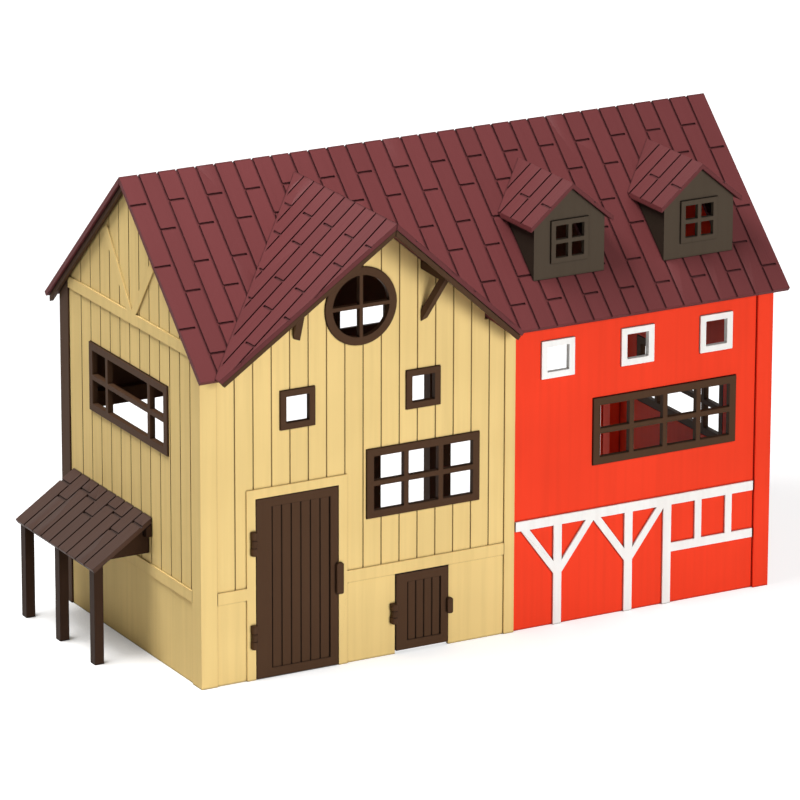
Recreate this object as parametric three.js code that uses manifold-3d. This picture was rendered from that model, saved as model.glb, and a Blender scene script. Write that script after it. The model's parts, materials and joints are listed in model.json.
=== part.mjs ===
// A farm house playset in coloured plastic: plank walls and posts, plank roofs with a cross gable and
// two dormers, window frames, a lean-to, and two doors that swing on pin hinges.
// Millimetres. X runs along the front from the left gable, Y to the back, Z up from the ground.
import * as THREE from 'three';
import { mergeVertices } from 'three/addons/utils/BufferGeometryUtils.js';
import Module from 'manifold-3d';

const wasm = await Module();
wasm.setup();

// Walls
const houseDepth = 189;
const wallThickness = 2.5;
const redRecess = 0.8;
const seatGap = 0.3;

// Grooves and raised trims
const seamWidth = 0.9;
const seamDepth = 0.7;
const roofSeamWidth = 1.4;
const roofSeamDepth = 0.9;
const beamProud = 1;
const beamHeight = 7.5;
const frontPlank = 12.5;
const gablePlank = 13.4;
const gableFirstPlank = 2.5;

// Posts
const postWidth = 11.1;
const postDepth = 12;
const postProud = 1;
const midPostWidth = 7.2;
const midPostDepth = 8;
const tongueThickness = 1.3;
const tongueReach = 3;
const frontPostRight = postWidth - postProud;
const sidePostBack = postDepth - postProud;
const backPostFront = houseDepth - sidePostBack;

// Doors
const spanned = (sizes) => ({ ...sizes, right: sizes.left + sizes.width, top: sizes.bottom + sizes.height });
const mainDoorSizes = { left: 36.6, width: 55.9, bottom: 0.5, height: 114.8, hingeBorder: 10.9, planks: 6 };
const mainDoor = spanned(mainDoorSizes);
const doorGap = 0.5;
const doorThickness = 3;
const doorProud = 1;
const doorBorder = 5.7;
const doorRecess = 0.6;
const trimWidth = 6;
const handleProud = 2.2;
const handleCorner = 1.2;
const handleOnDoorShare = 0.43;
const mainHandle = { width: 4.7, height: 20, middle: 56.6 };
const lowHandle = { width: 3.7, height: 10, middle: 26.2 };

// Cream front, laid out from the main door to the middle post
const windowAfterDoor = 19.9;
const windowBeforePost = 17.8;
const lowDoorInset = 20.5;
const wideLeft = mainDoor.right + windowAfterDoor;
const lowDoorSizes = { width: 36.4, bottom: 2.1, height: 49.4, hingeBorder: 8.1, planks: 4 };
const lowDoor = spanned({ left: wideLeft + lowDoorInset, ...lowDoorSizes });
const lowBeamTop = lowDoor.top + doorGap + seatGap + beamHeight;

// Hinges
const barrelRadius = 1.8;
const pinRadius = 0.8;
const hingeSetback = 2.4;
const knuckleShare = 0.3;
const hingeFromTop = 27.1;
const hingeFromBottom = 27.9;
const mainHinge = {
  height: 15, seat: beamProud, middles: [mainDoor.bottom + hingeFromBottom, mainDoor.top - hingeFromTop] };
const lowHinge = { height: 12.6, seat: 0, middles: [27.2] };
const hingeProud = beamProud + seatGap + barrelRadius;

// Windows stand one above the other, each with its sill's height over what lies below.
const frameBorder = 4.8;
const frameProud = 1.2;
const barWidth = 3.3;
const over = (floor, sizes) => ({ ...sizes, middle: floor + sizes.sill + sizes.height / 2 });
const topOf = ({ middle, height }) => middle + height / 2;
const timberRailTop = 71.4;
const wideSizes = { width: 78.4, height: 44.2, sill: 31 };
const smallSizes = { width: 23.6, height: 24.6, sill: 21.6, border: 4 };
const redSizes = { width: 103.1, height: 43.3, sill: 28.35 };
const whiteSizes = { width: 23.4, height: 24.1, sill: 18.1, border: 4 };
const gableSizes = { width: 106.5, height: 44, sill: 76.2 };
const wideWindow = over(lowBeamTop, wideSizes);
const smallWindow = over(topOf(wideWindow), smallSizes);
const redWindow = over(timberRailTop, redSizes);
const whiteWindow = over(topOf(redWindow), whiteSizes);
const gableWindow = over(lowBeamTop, gableSizes);
const rightGableSill = 79.2;
const windowHeader = 20.25;
const wallHeight = topOf(whiteWindow) + windowHeader;
const roundWindow = { radius: 24.4, border: 5, bar: 2.4, drop: 63.2 };
const smallWindowOffset = 43.15;
const gableWindowOffset = 1.3;
const rightGableOffset = 10;
const narrowShare = 0.2;

// The fronts are as long as what they hold.
const creamLength = wideLeft + wideWindow.width + windowBeforePost;
const midPostRight = creamLength + midPostWidth;
const redWindowInset = 56.25;
const redWindowMargin = 14.75;
const redWindowLeft = midPostRight + redWindowInset;
const rightPostLeft = redWindowLeft + redWindow.width + redWindowMargin;
const houseLength = rightPostLeft + frontPostRight;
const whiteWindowStart = 30.6;
const whiteWindowEnd = 29.8;

// Main roof
const mainPitch = THREE.MathUtils.degToRad(43.3);
const roofThickness = 3;
const eaveOverhang = 12;
const gableOverhang = 5.9;
const mainPlankCount = 32;
const jointSpacing = 44;
const jointStarts = [21, 40];
const jointShare = 0.82;
const rafterThickness = 3;
const rafterWidth = 3;
const rafterSetback = 0.6;
const ridgeY = houseDepth / 2;
const ridgeHeight = wallHeight + seatGap + roofThickness / Math.cos(mainPitch) + Math.tan(mainPitch) * ridgeY;
const mainTop = (y) => ridgeHeight - Math.tan(mainPitch) * Math.abs(ridgeY - y);
const mainUnder = (y) => mainTop(y) - roofThickness / Math.cos(mainPitch);
const eaveY = -eaveOverhang;

// Cross gable over the cream front; its eaves end a little above the main eave.
const crossShift = 4;
const crossOverlap = 0.1;
const crossRidgeDrop = 9;
const crossEaveLift = 0.9;
const crossCentre = creamLength / 2 + crossShift;
const crossHalfSpan = creamLength / 2 + crossOverlap;
const crossRidgeHeight = ridgeHeight - crossRidgeDrop;
const crossPitch = Math.atan((crossRidgeHeight - mainTop(eaveY) - crossEaveLift) / crossHalfSpan);
const prowReach = 46;
const prowEaveReach = 17;
const valleyLap = 6;
const valleyRim = 1.6;
const crossPlankCount = 10;

// White timber trim on the red wall
const timberThickness = 1.2;
const timberRailHeight = 6.2;
const timberPostWidth = 5.8;
const timberStartGap = 1.2;
const timberEndGap = 1.2;
const timberFirstPost = 30;
const timberSpacing = 51;
const timberLastPost = 28.1;
const timberBraceFoot = 34;
const timberBraceWidth = 4.8;
const timberLowRail = 37;
const timberStubShares = [0.361, 0.716];
const timberStubWidth = 4.8;

// Left gable braces, from a foot on the high beam
const highBeamLift = 8.8;
const highBeamTop = wallHeight + highBeamLift;
const gableFootOffset = 4.5;
const gableBackBrace = { along: 35, rise: 45.2 };
const gableFrontBrace = { along: -28.3, rise: 35.7 };
const gableBraceWidth = 6;

// Knee brackets
const bracketWidth = 4.5;
const bracketBar = 4;
const bracketArm = 3;
const bracketOffset = 43.5;
const bracketFall = 37;
const bracketReach = 23;
const bracketRise = 34;
const bracketSplay = THREE.MathUtils.degToRad(15);

// Dormers
const dormerShares = [0.2685, 0.7529];
const dormerWidth = 50;
const dormerFront = 11.5;
const dormerRise = 60.2;
const dormerPitch = THREE.MathUtils.degToRad(40);
const dormerRoofThickness = 2.5;
const dormerRoofHalf = 29;
const dormerRoofFront = 7.5;
const dormerWall = 2;
const dormerPlank = 13;
const dormerPlainPlanks = 2;
const dormerWindow = { width: 26.4, height: 27, border: 3.2, barsWide: 2.6, sill: 9.9 };
const atticHoleEdge = 3;
const atticHoleLength = 32;
const dormerCentres = dormerShares.map((share) => creamLength + (houseLength - creamLength) * share);
const dormerRidgeHeight = mainTop(dormerFront) + dormerRise;
const dormerWindowMiddle = mainTop(dormerFront) + dormerWindow.sill + dormerWindow.height / 2;

// Lean-to
const leanLength = 108.5;
const leanMargin = 14.5;
const leanStart = houseDepth - leanMargin - leanLength;
const leanDepth = 41;
const leanPitch = THREE.MathUtils.degToRad(33.7);
const leanTop = 90.3;
const leanThickness = 3;
const leanPlankCount = 9;
const leanSeamWidth = 1.3;
const leanSeamDepth = 1.8;
const leanJointStarts = [11, 21, 9];
const leanPost = 6.3;
const leanPostInset = 2.4;
const leanPostMargin = 5.8;
const ledgerDepth = 4;
const ledgerHeight = 6;
const cheekHeight = 24.3;
const cheekBottom = leanTop - cheekHeight;
const cheekThickness = 3;

// Back frame. The window in its top panel is placed from the panel's own lower edge.
const backBeam = { bottom: 128.3, height: 10.2, thickness: 6 };
const backPanelLap = 8;
const backBeamTop = backBeam.bottom + backBeam.height;
const backPanelBottom = backBeamTop - backPanelLap;
const backLightSizes = { left: 194.7, width: 32.2, bottom: 18, height: 12.2 };
const backLight = spanned(backLightSizes);
const backStudGap = 35.8;
const backStudWidth = 15.5;

const colours = {
  cream: [0xe9c985, 0.5],
  red: [0xef4330, 0.42],
  roof: [0x6e3a3d, 0.55],
  brown: [0x4f372f, 0.55],
  olive: [0x48423a, 0.55],
  white: [0xf4f3ef, 0.45],
};

const right = new THREE.Vector3(1, 0, 0);
const back = new THREE.Vector3(0, 1, 0);
const up = new THREE.Vector3(0, 0, 1);
const left = right.clone().negate();
const front = back.clone().negate();

// Solids
function solidOf(geometry) {
  const bare = geometry.clone();
  bare.deleteAttribute('uv');
  bare.deleteAttribute('normal');
  const joined = mergeVertices(bare);
  return new wasm.Manifold(new wasm.Mesh({
    numProp: 3,
    vertProperties: joined.attributes.position.array,
    triVerts: joined.index.array,
  }));
}

function geometryOf(solid) {
  const mesh = solid.getMesh();
  const geometry = new THREE.BufferGeometry();
  geometry.setAttribute('position', new THREE.BufferAttribute(mesh.vertProperties, mesh.numProp));
  geometry.setIndex(new THREE.BufferAttribute(mesh.triVerts, 1));
  return geometry;
}

const moved = (solid, matrix) => solidOf(geometryOf(solid).applyMatrix4(matrix));
const shifted = (solid, x, y, z) => moved(solid, new THREE.Matrix4().makeTranslation(x, y, z));
const joinAll = (solids) => solids.reduce((whole, piece) => whole.add(piece));
const cutAll = (solid, tools) => tools.reduce((whole, tool) => whole.subtract(tool), solid);

// An outline swept along the third axis of a frame.
function swept(outline, depth, matrix) {
  const shape = new THREE.Shape(outline.map(([across, along]) => new THREE.Vector2(across, along)));
  const geometry = new THREE.ExtrudeGeometry(shape, { depth, bevelEnabled: false });
  return solidOf(geometry.applyMatrix4(matrix));
}

const sweptUp = (outline, [low, high]) => (
  swept(outline, high - low, new THREE.Matrix4().makeTranslation(0, 0, low)));
const sweptBack = (outline, [near, far]) => (
  swept(outline, far - near, new THREE.Matrix4().makeBasis(right, up, front).setPosition(0, far, 0)));
const sweptRight = (outline, [start, end]) => (
  swept(outline, end - start, new THREE.Matrix4().makeBasis(back, up, right).setPosition(start, 0, 0)));

const rectangle = ([a0, a1], [b0, b1]) => [[a0, b0], [a1, b0], [a1, b1], [a0, b1]];
const centred = (a, b, width, height) => (
  rectangle([a - width / 2, a + width / 2], [b - height / 2, b + height / 2]));
const block = (xs, ys, zs) => sweptUp(rectangle(xs, ys), zs);

function circle(a, b, radius, sides) {
  return Array.from({ length: sides }, (_, index) => {
    const angle = 2 * Math.PI * index / sides;
    return [a + radius * Math.cos(angle), b + radius * Math.sin(angle)];
  });
}

function roundedRectangle([a0, a1], [b0, b1], radius) {
  const corners = [[a1 - radius, b1 - radius], [a0 + radius, b1 - radius],
    [a0 + radius, b0 + radius], [a1 - radius, b0 + radius]];
  const stepsPerCorner = 3;
  return corners.flatMap(([a, b], corner) => Array.from({ length: stepsPerCorner + 1 }, (_, step) => {
    const angle = Math.PI / 2 * (corner + step / stepsPerCorner);
    return [a + radius * Math.cos(angle), b + radius * Math.sin(angle)];
  }));
}

// A straight bar between two points of an outline's plane.
function bar([a0, b0], [a1, b1], width) {
  const length = Math.hypot(a1 - a0, b1 - b0);
  const sideA = -(b1 - b0) / length * width / 2;
  const sideB = (a1 - a0) / length * width / 2;
  return [[a0 - sideA, b0 - sideB], [a1 - sideA, b1 - sideB],
    [a1 + sideA, b1 + sideB], [a0 + sideA, b0 + sideB]];
}

// Plates are modelled lying down with the outer face up at zero height, then stood up.
const spread = (middle, width) => [middle - width / 2, middle + width / 2];
const groove = (as, bs, depth) => block(as, bs, [-depth, depth]);
const seamUp = (a, bs) => groove(spread(a, seamWidth), bs, seamDepth);
const roofSeamUp = (a, bs) => groove(spread(a, roofSeamWidth), bs, roofSeamDepth);
const roofSeamAcross = (b, as) => groove(as, spread(b, roofSeamWidth), roofSeamDepth);

const standing = (across, rise, origin) => new THREE.Matrix4()
  .makeBasis(across, rise, across.clone().cross(rise)).setPosition(origin);
const frontFrame = (y = 0) => standing(right, up, new THREE.Vector3(0, y, 0));
const leftFrame = standing(front, up, new THREE.Vector3());
const rightFrame = standing(back, up, new THREE.Vector3(houseLength, 0, 0));
const slopeUp = (across, pitch) => up.clone().cross(across)
  .multiplyScalar(Math.cos(pitch)).addScaledVector(up, Math.sin(pitch));

const wallPlate = (outline) => sweptUp(outline, [-wallThickness, 0]);
const through = (outline) => sweptUp(outline, [-wallThickness * 2, wallThickness]);
const raised = (outline) => sweptUp(outline, [-wallThickness / 2, beamProud]);

// Roof planes
const roofLeft = -gableOverhang;
const roofRight = houseLength + gableOverhang;
const roofLength = roofRight - roofLeft;
const crossTop = (x) => crossRidgeHeight - Math.tan(crossPitch) * Math.abs(x - crossCentre);
const crossUnder = (x) => crossTop(x) - roofThickness / Math.cos(crossPitch);
const valleyHalf = (y) => (crossRidgeHeight - mainTop(y)) / Math.tan(crossPitch);
const notchHalf = (y) => valleyHalf(y) - valleyLap;
const heightToDepth = (z) => ridgeY - (ridgeHeight - z) / Math.tan(mainPitch);
const mainSlope = (ridgeY - eaveY) / Math.cos(mainPitch);
const underMainGap = (y) => mainUnder(y) - seatGap / Math.cos(mainPitch);

// The space that the main roof's front half takes, a gap over it, and all below it.
function belowMainRoof(gap) {
  const lift = gap / Math.cos(mainPitch);
  const startY = eaveY - gap;
  const profile = [[startY, 0], [startY, mainTop(startY) + lift], [ridgeY, ridgeHeight + lift], [ridgeY, 0]];
  return sweptRight(profile, [roofLeft, roofRight]);
}

const underMainRoof = belowMainRoof(seatGap);

// Seams between planks, counted from start in one direction, with staggered joints in the first planks.
function roofGrooves({ start, direction = 1, plank, count, rise, jointed = count }) {
  const edge = (index) => start + direction * plank * index;
  const grooves = [];
  for (let index = 0; index < count; index += 1) {
    if (index > 0) grooves.push(roofSeamUp(edge(index), [-plank, rise + plank]));
    const ends = [edge(index), edge(index + jointShare)].sort((a, b) => a - b);
    const last = index < jointed ? rise - roofSeamWidth : 0;
    for (let down = jointStarts[index % jointStarts.length]; down < last; down += jointSpacing) {
      grooves.push(roofSeamAcross(rise - down, ends));
    }
  }
  return joinAll(grooves);
}

function mainRoofHalf(across, originX, originY, holes) {
  const plate = sweptUp(rectangle([0, roofLength], [0, mainSlope]), [-roofThickness, 0]);
  const plank = roofLength / mainPlankCount;
  const grooves = roofGrooves({ start: 0, plank, count: mainPlankCount, rise: mainSlope });
  const openings = holes.map((hole) => sweptUp(hole, [-roofThickness * 2, roofThickness]));
  const planks = cutAll(plate, [grooves, ...openings]);
  const origin = new THREE.Vector3(originX, originY, mainTop(originY));
  return moved(planks, standing(across, slopeUp(across, mainPitch), origin));
}

function mainRoofFront() {
  const slopeAt = (y) => (y - eaveY) / Math.cos(mainPitch);
  const notchEnd = heightToDepth(crossRidgeHeight - valleyLap * Math.tan(crossPitch));
  const centre = crossCentre - roofLeft;
  const notchStart = eaveY - eaveOverhang;
  const notch = [[centre - notchHalf(notchStart), slopeAt(notchStart)],
    [centre + notchHalf(notchStart), slopeAt(notchStart)], [centre, slopeAt(notchEnd)]];
  const holeHalf = dormerWidth / 2 - dormerWall - atticHoleEdge;
  const holeStart = slopeAt(dormerFront + dormerWall) + atticHoleEdge;
  const holes = dormerCentres.map((x) => rectangle(
    [x - roofLeft - holeHalf, x - roofLeft + holeHalf], [holeStart, holeStart + atticHoleLength]));
  const half = mainRoofHalf(right, roofLeft, eaveY, [notch, ...holes]);
  return half.subtract(block([roofLeft, roofRight], [ridgeY - seatGap / 2, houseDepth], [0, ridgeHeight]));
}

function mainRoofBack() {
  const half = mainRoofHalf(left, roofRight, houseDepth + eaveOverhang, []);
  return half.subtract(block([roofLeft, roofRight], [0, ridgeY + seatGap / 2], [0, ridgeHeight]));
}

// Cross gable. side is -1 for the half that slopes to the left and 1 for the other.
const crossSlope = crossHalfSpan / Math.cos(crossPitch);
const prowAt = (offset) => -prowReach + (prowReach - prowEaveReach) * offset / crossHalfSpan;
const crossFrame = (side) => {
  const across = side < 0 ? front : back;
  const x = crossCentre + side * crossHalfSpan;
  return standing(across, slopeUp(across, crossPitch), new THREE.Vector3(x, 0, crossTop(x)));
};

const pastCrossRidge = (side) => {
  const xs = side < 0 ? [crossCentre - seatGap / 2, houseLength] : [0, crossCentre + seatGap / 2];
  return block(xs, [-prowReach * 2, houseDepth], [0, crossRidgeHeight]);
};

function crossRoof(side) {
  const outline = [[-prowEaveReach, 0], [-prowReach, crossSlope], [ridgeY, crossSlope], [0, 0]];
  const plate = sweptUp(outline.map(([y, rise]) => [side * y, rise]), [-roofThickness, 0]);
  const run = heightToDepth(crossRidgeHeight) + prowReach;
  const plank = run / crossPlankCount;
  const grooves = roofGrooves({
    start: -side * prowReach, direction: side, plank, count: crossPlankCount, rise: crossSlope });
  const rim = moved(belowMainRoof(valleyRim), crossFrame(side).invert());
  const planks = plate.subtract(grooves.subtract(rim));
  return cutAll(moved(planks, crossFrame(side)), [pastCrossRidge(side), underMainRoof]);
}

function crossRafter(side) {
  const near = rafterSetback;
  const far = rafterSetback + rafterWidth;
  const outline = [[near - prowEaveReach, 0], [near - prowReach, crossSlope],
    [far - prowReach, crossSlope], [far - prowEaveReach, 0]];
  const top = -roofThickness - seatGap;
  const plate = sweptUp(outline.map(([y, rise]) => [side * y, rise]), [top - rafterThickness, top]);
  return cutAll(moved(plate, crossFrame(side)), [pastCrossRidge(side), underMainRoof]);
}

// An upside-down V under both halves of the main roof, outside a gable wall.
function gableRafters([start, end]) {
  const top = (y) => mainUnder(y) - seatGap / Math.cos(mainPitch);
  const low = (y) => top(y) - rafterThickness / Math.cos(mainPitch);
  const frontEnd = 0;
  const backEnd = houseDepth + eaveOverhang - roofThickness;
  const profile = [[frontEnd, low(frontEnd)], [ridgeY, low(ridgeY)], [backEnd, low(backEnd)],
    [backEnd, top(backEnd)], [ridgeY, top(ridgeY)], [frontEnd, top(frontEnd)]];
  return sweptRight(profile, [start, end]);
}

// Everything over the underside of the cross gable, with a gap left under it.
const overCrossUnderside = (() => {
  const foot = (x) => crossUnder(x) - seatGap / Math.cos(crossPitch);
  const ends = [crossCentre - crossHalfSpan, crossCentre + crossHalfSpan];
  const outline = [[ends[0], foot(ends[0])], [crossCentre, foot(crossCentre)], [ends[1], foot(ends[1])],
    [ends[1], ridgeHeight], [ends[0], ridgeHeight]];
  return sweptBack(outline, [-prowReach * 2, houseDepth]);
})();

// A brace from the wall to the cross gable's underside, splayed away from the middle, with an arm over it.
function kneeBracket(side) {
  const x = crossCentre + side * bracketOffset;
  const foot = crossUnder(x) - bracketFall;
  const outward = new THREE.Vector3(side * Math.sin(bracketSplay), -Math.cos(bracketSplay), 0);
  const steep = bracketRise / bracketReach;
  const depth = bracketBar * Math.hypot(1, steep);
  const over = bracketReach * 2;
  const diagonal = [[-bracketWidth, foot - bracketWidth * steep], [over, foot + over * steep],
    [over, foot + over * steep + depth], [-bracketWidth, foot - bracketWidth * steep + depth]];
  const underAt = (out) => crossUnder(x + side * out * Math.sin(bracketSplay));
  const armFoot = (out) => underAt(out) - bracketArm / Math.cos(crossPitch);
  const armEnd = bracketReach * (armFoot(bracketReach) - foot) / bracketRise;
  const arm = [[-bracketWidth, armFoot(-bracketWidth)], [armEnd, armFoot(armEnd)], [armEnd, ridgeHeight],
    [-bracketWidth, ridgeHeight]];
  const frame = standing(outward, up, new THREE.Vector3(x, 0, 0));
  const bars = [diagonal, arm].map((outline) => (
    moved(sweptUp(outline, spread(0, bracketWidth)), frame)));
  const behindWall = block([0, creamLength], [-seatGap, houseDepth], [0, ridgeHeight]);
  return cutAll(joinAll(bars), [behindWall, overCrossUnderside]);
}

// Dormers, modelled around their own middle.
const dormerTop = (x) => dormerRidgeHeight - Math.tan(dormerPitch) * Math.abs(x);
const dormerUnder = (x) => dormerTop(x) - dormerRoofThickness / Math.cos(dormerPitch);

function dormerBody() {
  const half = dormerWidth / 2;
  const foot = mainUnder(0);
  const inside = half - dormerWall;
  const gap = seatGap / Math.cos(dormerPitch);
  const outline = [[-half, foot], [half, foot], [half, dormerUnder(half) - gap], [0, dormerUnder(0) - gap],
    [-half, dormerUnder(half) - gap]];
  const window = windowHole(0, dormerWindowMiddle, dormerWindow);
  const shell = sweptBack(outline, [dormerFront, ridgeY]);
  const opening = sweptBack(window, [0, dormerFront * 2]);
  const room = block([-inside, inside], [dormerFront + dormerWall, houseDepth], [0, ridgeHeight]);
  return cutAll(shell, [room, opening, shifted(underMainRoof, -dormerCentres[0], 0, 0)]);
}

function dormerRoof() {
  const half = dormerRoofHalf;
  const outline = [[-half, dormerTop(half)], [-half, dormerUnder(half)], [0, dormerUnder(0)],
    [half, dormerUnder(half)], [half, dormerTop(half)], [0, dormerTop(0)]];
  const slopeLength = half / Math.cos(dormerPitch);
  const run = heightToDepth(dormerRidgeHeight) - dormerRoofFront;
  const grooves = [-1, 1].map((side) => {
    const across = side < 0 ? front : back;
    const origin = new THREE.Vector3(side * half, dormerRoofFront, dormerTop(half));
    const frame = standing(across, slopeUp(across, dormerPitch), origin);
    const count = Math.floor(run / dormerPlank);
    return moved(roofGrooves({
      start: 0, direction: side, plank: dormerPlank, count, rise: slopeLength,
      jointed: count - dormerPlainPlanks }), frame);
  });
  const roof = sweptBack(outline, [dormerRoofFront, ridgeY]);
  return cutAll(roof, [...grooves, shifted(underMainRoof, -dormerCentres[0], 0, 0)]);
}

// Window frames, centred on their own middle. A frame fills its hole in the wall and stands a little proud.
const frameDepths = (wall) => [-wall, frameProud];
const windowHole = (a, b, { width, height }) => centred(a, b, width + seatGap * 2, height + seatGap * 2);

function windowFrame(sizes, columns, rows, wall = wallThickness) {
  const { width, height, border = frameBorder, barsWide = barWidth } = sizes;
  const barsAcross = barsWide * (columns.length - 1);
  const barsUp = barsWide * (rows.length - 1);
  const insideWidth = width - border * 2 - barsAcross;
  const insideHeight = height - border * 2 - barsUp;
  const panes = [];
  let a = border - width / 2;
  for (const column of columns) {
    let b = border - height / 2;
    for (const row of rows) {
      panes.push(rectangle([a, a + insideWidth * column], [b, b + insideHeight * row]));
      b += insideHeight * row + barsWide;
    }
    a += insideWidth * column + barsWide;
  }
  const holes = panes.map((pane) => sweptUp(pane, [-wall * 2, frameProud * 2]));
  return cutAll(sweptUp(centred(0, 0, width, height), frameDepths(wall)), holes);
}

const evenShares = (count) => Array.from({ length: count }, () => 1 / count);
const gableShares = [narrowShare, 1 - narrowShare * 2, narrowShare];
const roundSides = 40;

function roundFrame() {
  const { radius, border, bar: barsWide } = roundWindow;
  const depths = frameDepths(wallThickness);
  const hole = sweptUp(circle(0, 0, radius - border, roundSides), [-wallThickness * 2, frameProud * 2]);
  const ring = sweptUp(circle(0, 0, radius, roundSides), depths).subtract(hole);
  const reach = radius - border / 2;
  const bars = [[[-reach, 0], [reach, 0]], [[0, -reach], [0, reach]]];
  return joinAll([ring, ...bars.map(([start, end]) => sweptUp(bar(start, end, barsWide), depths))]);
}

// Posts with sloped tops under the main roof, and grooves that take the tongues of the walls.
function post([x0, x1], [y0, y1], grooves) {
  const profile = [[y0, 0], [y1, 0], [y1, underMainGap(y1)], [y0, underMainGap(y0)]];
  return cutAll(sweptRight(profile, [x0, x1]), grooves);
}

const shoulder = (wallThickness - tongueThickness) / 2;
const tongueDepths = [-shoulder - tongueThickness, -shoulder];
const grooveReach = tongueReach + seatGap * 2;
const grooveSpan = (face) => [face + shoulder - seatGap, face + shoulder + tongueThickness + seatGap];
const grooveAt = (x, direction, face) => {
  const xs = direction > 0 ? [x - grooveReach, x + postWidth] : [x - postWidth, x + grooveReach];
  return block(xs, grooveSpan(face), [-postProud, ridgeHeight]);
};
const grooveInSide = (y, direction, face) => {
  const ys = direction > 0 ? [y - grooveReach, y + postDepth] : [y - postDepth, y + grooveReach];
  return block(grooveSpan(face), ys, [-postProud, ridgeHeight]);
};
const tongue = (edge, direction, top) => {
  const reach = edge + direction * tongueReach;
  const root = edge - direction * tongueReach;
  return sweptUp(rectangle([Math.min(root, reach), Math.max(root, reach)], [0, top]), tongueDepths);
};

const rightWallFace = houseLength - wallThickness;
const backWallFace = houseDepth - wallThickness;

function cornerPosts() {
  const leftXs = [-postProud, frontPostRight];
  const rightXs = [rightPostLeft, houseLength + postProud];
  const frontYs = [-postProud, sidePostBack];
  const backYs = [backPostFront, houseDepth + postProud];
  return {
    front_left_post: post(leftXs, frontYs, [
      grooveAt(frontPostRight, 1, 0), grooveInSide(sidePostBack, 1, 0)]),
    front_right_post: post(rightXs, frontYs, [
      grooveAt(rightPostLeft, -1, redRecess), grooveInSide(sidePostBack, 1, rightWallFace)]),
    back_left_post: post(leftXs, backYs, [
      grooveAt(frontPostRight, 1, backWallFace), grooveInSide(backPostFront, -1, 0)]),
    back_right_post: post(rightXs, backYs, [
      grooveAt(rightPostLeft, -1, backWallFace), grooveInSide(backPostFront, -1, rightWallFace)]),
  };
}

function middlePost() {
  const half = midPostWidth / 2;
  const depths = [-postProud, midPostDepth - postProud];
  const heights = [-postProud, ridgeHeight];
  const leftHalf = block([creamLength - half, creamLength + half - seatGap], depths, heights);
  const rightHalf = block([midPostRight - half + seatGap, midPostRight + half], depths, heights);
  return post([creamLength, midPostRight], depths, [
    grooveAt(creamLength, -1, 0).intersect(leftHalf),
    grooveAt(midPostRight, 1, redRecess).intersect(rightHalf)]);
}

// Doors
const hingeX = (door) => door.left - hingeSetback;
const doorHole = (door) => (
  rectangle([door.left - doorGap, door.right + doorGap], [-doorGap, door.top + doorGap]));

function hingeSpans({ height, middles }) {
  const knuckle = height * knuckleShare;
  return middles.map((middle) => ({
    whole: [middle - height / 2, middle + height / 2],
    knuckle: [middle - knuckle / 2, middle + knuckle / 2],
  }));
}

const barrelSides = 18;
const rod = (radius, zs, sides = barrelSides) => sweptUp(circle(0, 0, radius, sides), zs);

// Both halves of a hinge are modelled around the pin's axis: two eyes on feet, and the pin between them.
function hingeBracket({ height, seat }) {
  const [{ whole, knuckle }] = hingeSpans({ height, middles: [0] });
  const eyes = [[whole[0], knuckle[0] - seatGap], [knuckle[1] + seatGap, whole[1]]];
  const foot = hingeProud - seat - seatGap;
  const pieces = eyes.flatMap((zs) => [
    rod(barrelRadius, zs), block([-barrelRadius, barrelRadius], [0, foot], zs)]);
  return joinAll([rod(pinRadius, whole), ...pieces]);
}

// The neck that joins a knuckle to the door's plate passes through a pocket in the wall's edge.
const doorFace = hingeProud - doorProud;
const neckThickness = doorThickness - doorProud;
const knuckleNeck = () => {
  const lap = hingeSetback + barrelRadius;
  const neckBack = doorFace + neckThickness;
  return [[0, 0], [barrelRadius, 0], [barrelRadius, doorFace],
    [lap, doorFace], [lap, neckBack], [0, neckBack]];
};

// A door around its own hinge axis: plate, recessed planks and the hinge knuckles.
function doorLeaf(door, hinge) {
  const plate = block([hingeSetback, hingeSetback + door.width], [doorFace, doorFace + doorThickness],
    [door.bottom, door.top]);
  const field = { start: hingeSetback + door.hingeBorder, width: door.width - door.hingeBorder - doorBorder };
  const fieldXs = [field.start, field.start + field.width];
  const fieldZs = [door.bottom + doorBorder, door.top - doorBorder];
  const recess = block(fieldXs, [-doorThickness, doorFace + doorRecess], fieldZs);
  const stand = standing(right, up, new THREE.Vector3(0, doorFace + doorRecess, 0));
  const seams = Array.from({ length: door.planks + 1 }, (_, index) => (
    moved(seamUp(field.start + field.width * index / door.planks, fieldZs), stand)));
  const knuckles = hingeSpans(hinge).map(({ knuckle }) => (
    rod(barrelRadius, knuckle).add(sweptUp(knuckleNeck(), knuckle))));
  const bores = hingeSpans(hinge).map(({ whole }) => rod(pinRadius + seatGap, whole));
  return cutAll(joinAll([cutAll(plate, [recess, ...seams]), ...knuckles]), bores);
}

function handle(door, { width, height, middle }) {
  const edge = hingeSetback + door.width - width * handleOnDoorShare;
  const outline = roundedRectangle([edge, edge + width], spread(middle, height), handleCorner);
  const face = doorFace - seatGap;
  return sweptBack(outline, [face - handleProud, face]);
}

const hingePockets = (door, hinge) => hingeSpans(hinge).map(({ knuckle }) => block(
  [hingeX(door) - seatGap, door.left], [-hingeProud, neckThickness - doorProud + seatGap],
  [knuckle[0] - seatGap, knuckle[1] + seatGap]));

// Walls
const wallTop = (y) => mainUnder(y) - seatGap;
const roundMiddle = crossRidgeHeight - roundWindow.drop;
const wideCentre = wideLeft + wideWindow.width / 2;
const smallCentres = [crossCentre - smallWindowOffset, crossCentre + smallWindowOffset];
const redCentre = redWindowLeft + redWindow.width / 2;
const whiteEnds = [midPostRight + whiteWindowStart, rightPostLeft - whiteWindowEnd];
const whiteCentres = [whiteEnds[0], (whiteEnds[0] + whiteEnds[1]) / 2, whiteEnds[1]];
const gableCentre = ridgeY + gableWindowOffset;
const rightGableCentre = ridgeY + rightGableOffset;
const rightGableMiddle = rightGableSill + gableWindow.height / 2;

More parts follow.
